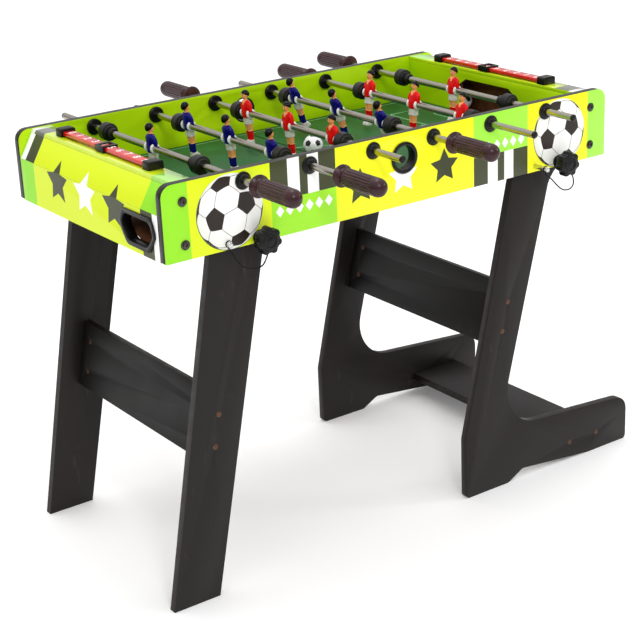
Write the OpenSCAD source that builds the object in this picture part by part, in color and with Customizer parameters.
// Folding foosball table: six player rods over a boxed playfield, on two hinged leg frames.
// Units are millimetres. +X runs along the table, +Y away from the front side panel, +Z up.
// The origin is on the floor, below the middle of the playfield.

/* [Table body] */
// Length of the side panels
body_l = 930; // [930:5:960]
// Width over both side panels
body_w = 502; // [490:2:510]
// Height of the side panels' lower edge above the floor
body_bottom = 605; // [605:1:606]
// Height of the side panels
panel_h = 124; // [122:1:130]
// Thickness of the side panels, end boards and legs
board_t = 15; // [14:1:16]
// Radius of the side panels' upper corners
panel_corner_r = 20; // [10:1:24]

/* [Playfield] */
// Height of the playfield's upper face above the floor
field_top = 642; // [641:1:643]
// Thickness of the playfield
field_t = 3; // [2:0.5:3]
// Distance from the middle of the field to either goal wall
field_half_l = 401; // [398:1:404]
// Width of each goal mouth
goal_w = 160; // [140:2:170]

/* [Rods and players] */
// Height of the rods' axes above the floor
rod_z = 710.5; // [709:0.5:712]
// Distance between neighbouring rods
rod_pitch = 127; // [126:0.5:128]
// Diameter of the rods
rod_d = 12; // [11:0.5:12]
// Distance between neighbouring men on a rod with three men
man_pitch = 133; // [128:1:134]
// Distance from a rod's middle to either rubber bumper on the three-man rods
bumper_offset = 160; // [158:1:161]
// Distance from a rod's middle to either rubber bumper on the goalkeeper rods
keeper_bumper_offset = 154; // [153:1:156]
// Distance from a rod's middle to the flange of its grip
grip_offset = 324; // [324:1:330]
// Length of a grip
grip_l = 108; // [100:1:112]

/* [Balls and counters] */
// Diameter of the balls
ball_d = 36; // [35:0.1:36]
// Diameter of the hole that the ball is served through
serve_d = 42; // [40:1:44]
// Length of a score counter, over its end blocks
counter_l = 316; // [300:2:320]

/* [Leg frames] */
// Height of a leg frame's cross board
cross_h = 120; // [110:2:124]
// Diameter of the pivot bolts and of the lock pins
pin_d = 8; // [7:0.5:8]
// Diameter of a star knob over its lobes
knob_d = 46; // [42:1:48]

/* [Hidden] */
$fn = 48;

// Every rod in order from -X: men, sideways shift, tilt of the feet towards +X, side of the grip, facing.
function men_count(rod) = [1, 3, 3, 3, 3, 1][rod - 1];
function rod_shift(rod) = [30, -12, -9, 21, -42, -2][rod - 1];
function rod_tilt(rod) = [3, 7, 5, 18, -5, -2][rod - 1];
function grip_side(rod) = [-1, -1, 1, -1, 1, 1][rod - 1];
function facing(rod) = -grip_side(rod);
function rod_x(rod) = (rod - 3.5) * rod_pitch;
function is_keeper(rod) = men_count(rod) == 1;
function bumper_y(rod) = is_keeper(rod) ? keeper_bumper_offset : bumper_offset;
function team_color(rod) = facing(rod) > 0 ? "MediumBlue" : "Crimson";

half_l = body_l / 2;
half_w = body_w / 2;
inner_w = half_w - board_t;          // inner face of a side panel
body_top = body_bottom + panel_h;
bend_z = body_bottom + 76;           // where an end board meets its sloped board
cover_top = body_top - 1;
cover_t = 6;
cover_bottom = cover_top - cover_t;
slope_run = 28;                      // how far the sloped board leans in
slope_rate = slope_run / (cover_top - bend_z);
end_in = half_l - board_t;           // inner face of an end board
goal_wall_t = 9;
goal_back = field_half_l + goal_wall_t;
running = 0.05;                      // radial clearance of whatever turns or slides
gap = 0.4;                           // space between faces that move past each other

leg_out = inner_w - gap;             // outer face of a leg
leg_in = leg_out - board_t;
pivot_z = 614.5;
left_pivot_x = -295;
right_pivot_x = 348;
lock_z = 615;
left_lock_x = -351.5;
right_lock_x = 294.5;
head_r = 22.6;                       // round head of every leg, which turns below the field
shoulder_z = lock_z - pin_d / 2 - 0.6;
lock_pull = 25;                      // how far a lock pin draws out

// Leg outlines: slope of the edges and the points that they start from
left_leg_foot = [-492, -402.5];
left_leg_rates = [0.192, 0.2132];
right_leg_heel = [141.5, 245];
right_leg_kink_z = 118;
right_leg_rates = [0.2364, 0.2645];
right_leg_back_x = 275;              // front edge of the upright at z = 322
right_toe_x = 557;
foot_curve_r = 80;

port_y = 173;                        // middle of the ball return opening
port_z = 645;
port_flange = 8;
serve_z = 686.5;
panel_bolt_x = 428;
panel_bolt_z = [630, 699];
trough_t = 4;
counter_x = 416;
counter_w = 28;
rail_w = 20;
rail_lift = 3;
slider_y = [4, 12];
cord_d = 2.5;

// Ball trough: heights along Y of the floor that leads to the return opening
trough_floor = [[-95, 642], [120, 634], [165, 621.5]];
ball_in_goal_y = 103;
rest_gap = 0.2;                      // under a ball, so that it touches nothing

bushing_r = 9;                       // part of a bushing inside the side panel
flange_r = 16;                       // flanges of the bumpers
bushing_flange_r = 14.5;             // flanges of the bushings, on both faces of the panel
grip_flange_r = 18.5;
grip_waist_r = 12.5;
grip_r = 15;
neck_r = 11;                         // bushing noses and knob necks
flange_l = 3;
panel_screw_r = 3;

// ---- outlines -------------------------------------------------------------------------------

function unit(v) = v / norm(v);

// Points of an arc of radius r that rounds the corner at b between a and c
function corner(a, b, c, r, steps = 6) =
    let (u = unit(a - b), v = unit(c - b), half = acos(u * v) / 2)
    let (mid = b + unit(u + v) * r / sin(half), reach = r / tan(half))
    let (s = b + u * reach - mid, e = b + v * reach - mid)
    let (a0 = atan2(s.y, s.x), turn = atan2(s.x * e.y - s.y * e.x, s * e))
    [for (i = [0:steps]) mid + r * [cos(a0 + turn * i / steps), sin(a0 + turn * i / steps)]];

// Outline from [x, y, radius] corners; a radius of 0 is a sharp corner
function rounded(p) = [for (i = [0:len(p) - 1])
    let (n = len(p), a = p[(i + n - 1) % n], b = p[i], c = p[(i + 1) % n])
    each (b.z == 0 ? [[b.x, b.y]] : corner([a.x, a.y], [b.x, b.y], [c.x, c.y], b.z))];

function arc(mid, r, a0, a1, steps) =
    [for (i = [0:steps]) let (a = a0 + (a1 - a0) * i / steps) mid + r * [cos(a), sin(a)]];

// A board whose outline lies in X and Z, from y0 to y1
module board_xz(y0, y1) translate([0, y1, 0]) rotate([90, 0, 0]) linear_extrude(y1 - y0) children();

// A board whose outline lies in Y and Z, from x0 to x1
module board_yz(x0, x1) translate([x0, 0, 0]) rotate([90, 0, 90]) linear_extrude(x1 - x0) children();

// A round bar along Y
module bar_y(x, z, y0, y1, r) translate([x, y1, z]) rotate([90, 0, 0]) cylinder(r = r, h = y1 - y0);

// What is built for one end or side is repeated for the other by half a turn or by a mirror
module both_ends() { children(); rotate([0, 0, 180]) children(); }
module both_sides() { children(); mirror([0, 1, 0]) children(); }
module on_side(side) if (side < 0) children(); else mirror([0, 1, 0]) children();

// ---- table body -----------------------------------------------------------------------------

module panel_holes() {
    for (rod = [1:6]) bar_y(rod_x(rod), rod_z, -half_w - 1, half_w + 1, bushing_r);
    bar_y(0, serve_z, -half_w - 1, half_w + 1, serve_d / 2 + 3);
    for (x = [left_pivot_x, right_pivot_x])
        bar_y(x, pivot_z, -half_w - 1, half_w + 1, pin_d / 2 + running);
    for (x = [left_lock_x, right_lock_x])
        bar_y(x, lock_z, -half_w - 1, half_w + 1, pin_d / 2 + running);
    for (x = [-panel_bolt_x, panel_bolt_x], z = panel_bolt_z)
        bar_y(x, z, -half_w - 1, half_w + 1, panel_screw_r);
}

module side_panel(side) color("GreenYellow") difference() {
    on_side(side) board_xz(-half_w, -inner_w) polygon(rounded([
        [-half_l, body_bottom, 3], [half_l, body_bottom, 3],
        [half_l, body_top, panel_corner_r], [-half_l, body_top, panel_corner_r]]));
    panel_holes();
    translate([-field_half_l, -inner_w - 3, field_top - field_t])
        cube([2 * field_half_l, 2 * inner_w + 6, field_t]);
}

module side_panel_front() side_panel(-1);
module side_panel_back() side_panel(1);

function port_shape(w, top, bottom) = rounded([[-0.6 * w, -bottom, 16], [0.6 * w, -bottom, 16],
    [w, 0, 14], [0.8 * w, top, 13], [-0.8 * w, top, 13], [-w, 0, 14]]);

module port_outline(grow) translate([port_y, port_z])
    polygon(port_shape(50 + grow, 20 + grow, 23 + grow));

module end_boards() color("GreenYellow") both_ends() difference() {
    board_yz(end_in, half_l) translate([-inner_w, body_bottom])
        square([2 * inner_w, bend_z - body_bottom]);
    board_yz(end_in - 1, half_l + 1) port_outline(3);
}

// Outer face of the sloped board at height z
function slope_x(z) = half_l - slope_rate * (z - bend_z);

module sloped_boards() color("Yellow") both_ends() board_xz(-inner_w, inner_w)
    polygon([[half_l, bend_z], [slope_x(cover_bottom), cover_bottom],
        [slope_x(cover_bottom) - board_t, cover_bottom], [end_in, bend_z]]);

module end_covers() color("PaleGreen") both_ends() board_xz(-inner_w, inner_w)
    polygon([[slope_x(cover_bottom), cover_bottom], [slope_x(cover_top), cover_top],
        [field_half_l, cover_top], [field_half_l, cover_bottom]]);

module goal_walls() color("LimeGreen") both_ends() board_yz(field_half_l, goal_back)
    difference() {
        union() {
            translate([-inner_w, field_top]) square([2 * inner_w, cover_bottom - field_top]);
            translate([-leg_in + 4, body_bottom + 5])
                square([2 * leg_in - 8, field_top - body_bottom - 4]);
        }
        polygon([[-goal_w / 2, field_top], [goal_w / 2, field_top], [goal_w / 2, field_top + 53],
            [goal_w / 2 - 19, field_top + 65], [-goal_w / 2 + 19, field_top + 65],
            [-goal_w / 2, field_top + 53]]);
    }

module playfield() color("DarkGreen")
    translate([-field_half_l, -inner_w - 3, field_top - field_t])
        cube([2 * field_half_l, 2 * inner_w + 6, field_t]);

// Sloping floor behind each goal wall, which leads the ball to the return opening
module ball_troughs() color("SaddleBrown") both_ends() board_yz(goal_back, end_in)
    let (end = [leg_in - 5, trough_floor[2].y], top = concat(trough_floor, [end]))
        polygon(concat(top, [for (i = [3:-1:0]) top[i] - [0, trough_t]]));

module port_rings() color("#1a1a1a") {
    both_ends() difference() {
        union() {
            board_yz(half_l, half_l + 3) port_outline(port_flange);
            board_yz(end_in, half_l) port_outline(3);
        }
        board_yz(end_in - 1, half_l + 4) port_outline(0);
    }
    both_sides() difference() {
        union() {
            bar_y(0, serve_z, -half_w - 3, -half_w, serve_d / 2 + 6);
            bar_y(0, serve_z, -half_w, -inner_w, serve_d / 2 + 3);
        }
        bar_y(0, serve_z, -half_w - 4, -inner_w + 1, serve_d / 2);
    }
}

// Wooden battens in the corners, which the panel bolts screw into
module corner_battens() color("Tan") both_ends() both_sides() difference() {
    board_xz(-inner_w, -inner_w + 9)
        polygon([[goal_back, body_bottom + 8], [end_in, body_bottom + 8], [end_in, bend_z],
            [slope_x(714) - board_t, 714], [goal_back, 714]]);
    for (z = panel_bolt_z) bar_y(panel_bolt_x, z, -half_w, -inner_w + 10, panel_screw_r);
}

module rod_bushing(x) difference() {
    union() {
        bar_y(x, rod_z, -half_w - flange_l, -half_w, bushing_flange_r);
        bar_y(x, rod_z, -half_w - 2 * flange_l, -half_w - flange_l, neck_r);
        bar_y(x, rod_z, -half_w, -inner_w, bushing_r);
        bar_y(x, rod_z, -inner_w, -inner_w + 5, bushing_flange_r);
    }
    bar_y(x, rod_z, -half_w - 7, -inner_w + 6, rod_d / 2 + running);
}

module rod_bushings() color("#202020") both_sides() for (rod = [1:6]) rod_bushing(rod_x(rod));

module panel_bolts() color("#303030") both_sides()
    for (x = [-panel_bolt_x, panel_bolt_x], z = panel_bolt_z) {
        bar_y(x, z, -half_w - 1.5, -half_w, 8);
        bar_y(x, z, -half_w - 4, -half_w - 1.5, 5);
        bar_y(x, z, -half_w, -inner_w + 6, panel_screw_r);
    }

// ---- score counters -------------------------------------------------------------------------

rail_bottom = cover_top + rail_lift;
rail_top = rail_bottom + 6;
block_top = cover_top + 14;
slider_top = rail_top + 2.5;
block_l = 20;
rail_l = counter_l - 2 * block_l - 0.2;

module counter_rails() both_ends() {
    color("OrangeRed") translate([counter_x - rail_w / 2, -rail_l / 2, rail_bottom])
        cube([rail_w, rail_l, rail_top - rail_bottom]);
    color("#202020") both_sides() board_xz(-counter_l / 2, -counter_l / 2 + block_l)
        polygon(rounded([[counter_x - counter_w / 2, cover_top, 0],
            [counter_x + counter_w / 2, cover_top, 0],
            [counter_x + counter_w / 2, block_top, 4], [counter_x - counter_w / 2, block_top, 4]]));
}

module counter_slider(end, y) color("#202020") difference() {
    translate([end * counter_x - counter_w / 2, y - 14, cover_top + 1.5])
        cube([counter_w, 28, slider_top - cover_top - 1.5]);
    translate([end * counter_x - rail_w / 2 - 0.3, y - 15, rail_bottom - 0.3])
        cube([rail_w + 0.6, 30, rail_top - rail_bottom + 0.6]);
    translate([end * counter_x - rail_w / 2, y - 8, rail_top])
        cube([rail_w, 16, 10]);
}

module counter_slider_left() counter_slider(-1, slider_y[0]);
module counter_slider_right() counter_slider(1, slider_y[1]);

// ---- leg frames -----------------------------------------------------------------------------

function left_back_x(z) = left_leg_foot[0] + left_leg_rates[0] * z;
function left_front_x(z) = left_leg_foot[1] + left_leg_rates[1] * z;
function right_back_x(z) = right_leg_heel[0] + right_leg_rates[0] * (z - right_leg_kink_z);
function right_front_x(z) = right_leg_back_x + right_leg_rates[1] * (z - 322);

shoulder_angle = 180 + asin((pivot_z - shoulder_z) / head_r);

module left_leg_outline() polygon(concat(
    [[left_leg_foot[0], 0], [left_leg_foot[1], 0]],
    arc([left_pivot_x, pivot_z], head_r, -atan(left_leg_rates[1]), shoulder_angle, 20),
    [[left_back_x(shoulder_z), shoulder_z]]));

// The foot's inside curve touches the upright and the foot's upper edge
foot_tilt = 4.4;
upright_lean = atan(right_leg_rates[1]);
foot_curve_z = 190;
foot_curve_x = right_front_x(foot_curve_z) + foot_curve_r / cos(upright_lean);
foot_top_z = foot_curve_z - foot_curve_r / cos(foot_tilt)
    - tan(foot_tilt) * (right_toe_x - foot_curve_x);

module right_leg_outline() polygon(concat(
    rounded([[right_leg_heel[0], right_leg_kink_z, 0], [right_leg_heel[0], 0, 8],
        [right_leg_heel[1], 0, 14], [right_leg_heel[1] + 36, 19, 14], [455, 0, 0],
        [right_toe_x, 0, 8], [right_toe_x, foot_top_z, 30],
        [foot_curve_x + foot_curve_r * sin(-foot_tilt),
            foot_curve_z - foot_curve_r * cos(foot_tilt), 0]]),
    arc([foot_curve_x, foot_curve_z], foot_curve_r, -94.4, -180 - upright_lean, 14),
    [[right_front_x(570), 570], [right_front_x(570) + 5, 580], [right_front_x(570) + 14, 591]],
    arc([right_pivot_x, pivot_z], head_r, -36, shoulder_angle, 20),
    [[right_back_x(shoulder_z), shoulder_z]]));

left_cross_z = 300;
right_cross_z = 340;
function cross_x(end, z) = end < 0 ? (left_back_x(z) + left_front_x(z)) / 2
    : (right_back_x(z) + right_front_x(z)) / 2;
function cross_lean(end) = end < 0 ? atan((left_leg_rates[0] + left_leg_rates[1]) / 2)
    : atan((right_leg_rates[0] + right_leg_rates[1]) / 2);
bolt_spread = 28;
shelf_x = [382, 497];
shelf_z = [29, 44];
shelf_bolt_x = [404, 475];

// Places the frame of a cross board: X across the board, Z along its height
module at_cross(end) {
    z = end < 0 ? left_cross_z : right_cross_z;
    translate([cross_x(end, z), 0, z]) rotate([0, cross_lean(end), 0]) children();
}

module frame_bolt_holes(end) {
    at_cross(end) for (s = [-1, 1]) bar_y(0, s * bolt_spread, -half_w, half_w, 3);
    if (end > 0) for (x = shelf_bolt_x)
        bar_y(x, (shelf_z[0] + shelf_z[1]) / 2, -half_w, half_w, 3);
}

module leg(end, side) color("#2f2a28") difference() {
    on_side(side) board_xz(-leg_out, -leg_in)
        if (end < 0) left_leg_outline(); else right_leg_outline();
    bar_y(end < 0 ? left_pivot_x : right_pivot_x, pivot_z, -half_w, half_w, pin_d / 2 + running);
    frame_bolt_holes(end);
}

module left_leg_front() leg(-1, -1);
module left_leg_back() leg(-1, 1);
module right_leg_front() leg(1, -1);
module right_leg_back() leg(1, 1);

module cross_board(end) color("#2b2624") difference() {
    at_cross(end) translate([-board_t / 2, -leg_in, -cross_h / 2])
        cube([board_t, 2 * leg_in, cross_h]);
    frame_bolt_holes(end);
    at_cross(end) for (s = [-1, 1]) both_sides() nut_hole(s);
}

module nut_hole(s) translate([-board_t, -leg_in + 28, s * bolt_spread]) rotate([0, 90, 0])
    cylinder(r = 5, h = 2 * board_t);

module left_cross_board() cross_board(-1);
module right_cross_board() cross_board(1);

module right_shelf() color("#2b2624") difference() {
    translate([shelf_x[0], -leg_in, shelf_z[0]])
        cube([shelf_x[1] - shelf_x[0], 2 * leg_in, shelf_z[1] - shelf_z[0]]);
    frame_bolt_holes(1);
}

// Flat-headed bolt along Y whose tip is tip_in from the leg's inner face
module frame_bolt(x, z, tip_in) {
    bar_y(x, z, -leg_out - 0.3, -leg_out, 5);
    bar_y(x, z, -leg_out, -leg_in + tip_in, 3);
}

module barrel_nut() translate([-board_t / 2, -leg_in + 28, 0]) rotate([0, 90, 0])
    difference() {
        cylinder(r = 5, h = board_t);
        translate([0, 0, board_t / 2]) rotate([90, 0, 0])
            cylinder(r = 3.1, h = 20, center = true);
    }

module leg_bolts(end) color("#8a8a8a") both_sides() {
    at_cross(end) for (s = [-1, 1]) {
        frame_bolt(0, s * bolt_spread, 34);
        translate([0, 0, s * bolt_spread]) barrel_nut();
    }
    if (end > 0) for (x = shelf_bolt_x) frame_bolt(x, (shelf_z[0] + shelf_z[1]) / 2, 30);
}

module left_leg_bolts() leg_bolts(-1);
module right_leg_bolts() leg_bolts(1);

// Star knob with its bolt through the side panel and the leg's head
knob_inner = half_w + gap;
knob_neck = knob_inner + 17;         // end of the neck that presses on the panel
knob_face = knob_neck + 18;
knob_lobes = 7;
lobe_r = 6;
lobe_at = knob_d / 2 - lobe_r;
module star_knob(x, side) color("#151515") on_side(side) {
    bar_y(x, pivot_z, -knob_neck, -knob_inner, neck_r);
    bar_y(x, pivot_z, -knob_face, -knob_neck, knob_d / 2 - 5);
    for (k = [1:knob_lobes]) let (a = k * 360 / knob_lobes)
        bar_y(x + lobe_at * sin(a), pivot_z + lobe_at * cos(a), -knob_face + 1, -knob_neck, lobe_r);
    bar_y(x, pivot_z, -knob_face - 2, -knob_face, 12);
    bar_y(x, pivot_z, -knob_inner, -leg_in + 3, pin_d / 2);
}

module knob_left_front() star_knob(left_pivot_x, -1);
module knob_left_back() star_knob(left_pivot_x, 1);
module knob_right_front() star_knob(right_pivot_x, -1);
module knob_right_back() star_knob(right_pivot_x, 1);

// Lock pin: it lies on the leg's shoulder when it is in, and clears the leg when it is drawn
module lock_pin(x, side, drawn) color("Silver") on_side(side) translate([0, -drawn, 0]) {
    bar_y(x, lock_z, -half_w - 3, -leg_in + 4, pin_d / 2);
    bar_y(x, lock_z, -half_w - 9, -half_w - 3, pin_d / 2 + 1);
}

module lock_pin_left_front() lock_pin(left_lock_x, -1, 0);
module lock_pin_left_back() lock_pin(left_lock_x, 1, 0);
module lock_pin_right_front() lock_pin(right_lock_x, -1, lock_pull);
module lock_pin_right_back() lock_pin(right_lock_x, 1, 0);

// ---- lanyards -------------------------------------------------------------------------------

// Each lanyard hangs from the shaft of a lock pin, behind its head, to the neck of a star knob
left_route = [[-351.5, -252.6, 609.7], [-351.3, -253, 606.5], [-349.8, -254.5, 602.5],
    [-347, -256, 598], [-343.5, -257, 591.5], [-339.5, -257, 585], [-333.5, -257, 577.5],
    [-326.5, -257, 572], [-319.5, -257, 568.5], [-312, -257, 566], [-305, -257, 565],
    [-298.5, -257, 566], [-293, -257, 568.5], [-289, -257, 573], [-285.5, -257, 579],
    [-283, -257, 585], [-282, -257, 591], [-282.7, -257, 596.5], [-285, -257, 601],
    [-288.4, -257, 605.1]];
right_route = [[294.5, -277.6, 609.7], [294.8, -277.4, 606.5], [297.5, -277, 603], [305, -276, 597.5],
    [312.5, -274, 592.5], [320.5, -271.5, 586], [328.5, -269, 579], [336, -267, 573],
    [343.5, -265, 567.5], [351.5, -263.5, 563], [359.5, -262, 560.5], [367.5, -260.5, 559.5],
    [373, -259.5, 560], [379, -258.5, 563], [382.5, -257.5, 567.5], [383, -257, 572.5],
    [382, -257, 578], [379.5, -257, 583], [376, -257, 587.5], [370.5, -257, 593], [363, -257, 600],
    [356.3, -257, 606.6]];

// Catmull-Rom point at t of the way from point i to point i + 1 of a route
function route_point(p, i, t) =
    let (n = len(p) - 1, a = p[max(i - 1, 0)], b = p[i], c = p[min(i + 1, n)], d = p[min(i + 2, n)])
    b + 0.5 * t * ((c - a) + t * (2 * a - 5 * b + 4 * c - d + t * (3 * b - a - 3 * c + d)));

function route_smooth(p, per) = concat(
    [for (i = [0:len(p) - 2], k = [0:per - 1]) route_point(p, i, k / per)], [p[len(p) - 1]]);

module cord(route, r, sides = 8) {
    p = route_smooth(route, 2);
    n = len(p);
    rings = [for (i = [0:n - 1]) let (
        d = unit(p[min(i + 1, n - 1)] - p[max(i - 1, 0)]),
        u = unit(cross(d, [0, 1, 0])), v = cross(d, u))
        each [for (k = [0:sides - 1])
            p[i] + r * (cos(k * 360 / sides) * u + sin(k * 360 / sides) * v)]];
    walls = [for (i = [0:n - 2], k = [0:sides - 1])
        let (a = i * sides + k, b = i * sides + (k + 1) % sides) [a, a + sides, b + sides, b]];
    caps = [[for (k = [0:sides - 1]) k], [for (k = [sides - 1:-1:0]) (n - 1) * sides + k]];
    polyhedron(rings, concat(walls, caps));
}

module lanyard_left() color("#101010") cord(left_route, cord_d / 2);
module lanyard_right() color("#101010") cord(right_route, cord_d / 2);

// ---- balls ----------------------------------------------------------------------------------

module ball(at) color("White") translate(at) sphere(r = ball_d / 2);

module ball_on_field() ball([-1, 10, field_top + ball_d / 2 + rest_gap]);
module ball_in_goal() ball([(goal_back + end_in) / 2, ball_in_goal_y,
    lookup(ball_in_goal_y, trough_floor) + ball_d / 2 + rest_gap]);

// ---- rods -----------------------------------------------------------------------------------

// Places a rod's own frame: its axis along Y, its grip towards -Y
module at_rod(rod) translate([rod_x(rod), rod_shift(rod), rod_z]) on_side(grip_side(rod)) children();

tip_y = 318;                         // end of the rod's tube on the side without the grip
plug_l = 4;
tube_r = rod_d / 2 - 1.2;            // inside the tube
grip_depth = 74;

module rod(n) color("Silver") at_rod(n) difference() {
    bar_y(0, 0, -grip_offset - grip_depth, tip_y, rod_d / 2);
    bar_y(0, 0, -grip_offset - grip_depth - 1, tip_y + 1, tube_r);
}

module grip(n) color("#4a2f35") at_rod(n) {
    difference() {
        union() {
            bar_y(0, 0, -grip_offset - 6, -grip_offset, grip_flange_r);
            bar_y(0, 0, -grip_offset - 16, -grip_offset - 6, grip_waist_r);
            bar_y(0, 0, -grip_offset - grip_l + grip_r, -grip_offset - 16, grip_r);
            translate([0, -grip_offset - grip_l + grip_r, 0]) sphere(r = grip_r);
        }
        bar_y(0, 0, -grip_offset - grip_depth, -grip_offset + 1, rod_d / 2);
    }
    bar_y(0, 0, tip_y, tip_y + plug_l, rod_d / 2);
    bar_y(0, 0, tip_y - 10, tip_y, tube_r);
}

module bumpers(n) color("#181818") at_rod(n) both_sides() difference() {
    union() {
        bar_y(0, 0, -bumper_y(n) - 9, -bumper_y(n) + 9, flange_r);
        bar_y(0, 0, -bumper_y(n) - 11, -bumper_y(n) + 11, 12);
        if (is_keeper(n)) bar_y(0, 0, -bumper_y(n) + 11, -bumper_y(n) + 24, 9.5);
    }
    bar_y(0, 0, -bumper_y(n) - 12, -bumper_y(n) + 25, rod_d / 2 + running);
}

// A player's side outline faces +X, and the front outline trims it
man_side = [[-6, -60], [12, -60], [13, -55], [3, -50], [4, -32], [5, -20], [7, -8], [8, 8],
    [6, 20], [3, 24], [8, 27], [9, 37], [5, 42], [-4, 43], [-8, 38], [-8, 28], [-5, 24], [-7, 18],
    [-8, 4], [-7, -8], [-7, -20], [-5, -34], [-6, -50]];
man_front = [[8, -60], [8, -34], [9.5, -20], [9.5, -8], [11, 0], [12, 8], [12.5, 16], [10, 22],
    [4.5, 24], [6, 28], [8, 33], [7, 39], [4, 43]];

module man() difference() {
    intersection() {
        board_xz(-13, 13) polygon(man_side);
        board_yz(-10, 15) polygon(concat(man_front,
            [for (i = [len(man_front) - 1:-1:0]) [-man_front[i].x, man_front[i].y]]));
    }
    bar_y(0, 0, -20, 20, rod_d / 2);
}

module men(n) color(team_color(n)) translate([rod_x(n), rod_shift(n), rod_z])
    rotate([0, -rod_tilt(n), 0]) scale_x(facing(n))
        for (k = [0:men_count(n) - 1])
            translate([0, (k - (men_count(n) - 1) / 2) * man_pitch, 0]) man();

module scale_x(side) if (side > 0) children(); else rotate([0, 0, 180]) children();

module rod_1() rod(1);
module rod_2() rod(2);
module rod_3() rod(3);
module rod_4() rod(4);
module rod_5() rod(5);
module rod_6() rod(6);
module men_1() men(1);
module men_2() men(2);
module men_3() men(3);
module men_4() men(4);
module men_5() men(5);
module men_6() men(6);
module grip_1() grip(1);
module grip_2() grip(2);
module grip_3() grip(3);
module grip_4() grip(4);
module grip_5() grip(5);
module grip_6() grip(6);
module bumpers_1() bumpers(1);
module bumpers_2() bumpers(2);
module bumpers_3() bumpers(3);
module bumpers_4() bumpers(4);
module bumpers_5() bumpers(5);
module bumpers_6() bumpers(6);

side_panel_front();
side_panel_back();
end_boards();
sloped_boards();
end_covers();
goal_walls();
playfield();
ball_troughs();
port_rings();
corner_battens();
rod_bushings();
panel_bolts();
counter_rails();
counter_slider_left();
counter_slider_right();
left_leg_front();
left_leg_back();
left_cross_board();
left_leg_bolts();
right_leg_front();
right_leg_back();
right_cross_board();
right_shelf();
right_leg_bolts();
knob_left_front();
knob_left_back();
knob_right_front();
knob_right_back();
lock_pin_left_front();
lock_pin_left_back();
lock_pin_right_front();
lock_pin_right_back();
lanyard_left();
lanyard_right();
ball_on_field();
ball_in_goal();
rod_1();
rod_2();
rod_3();
rod_4();
rod_5();
rod_6();
men_1();
men_2();
men_3();
men_4();
men_5();
men_6();
grip_1();
grip_2();
grip_3();
grip_4();
grip_5();
grip_6();
bumpers_1();
bumpers_2();
bumpers_3();
bumpers_4();
bumpers_5();
bumpers_6();
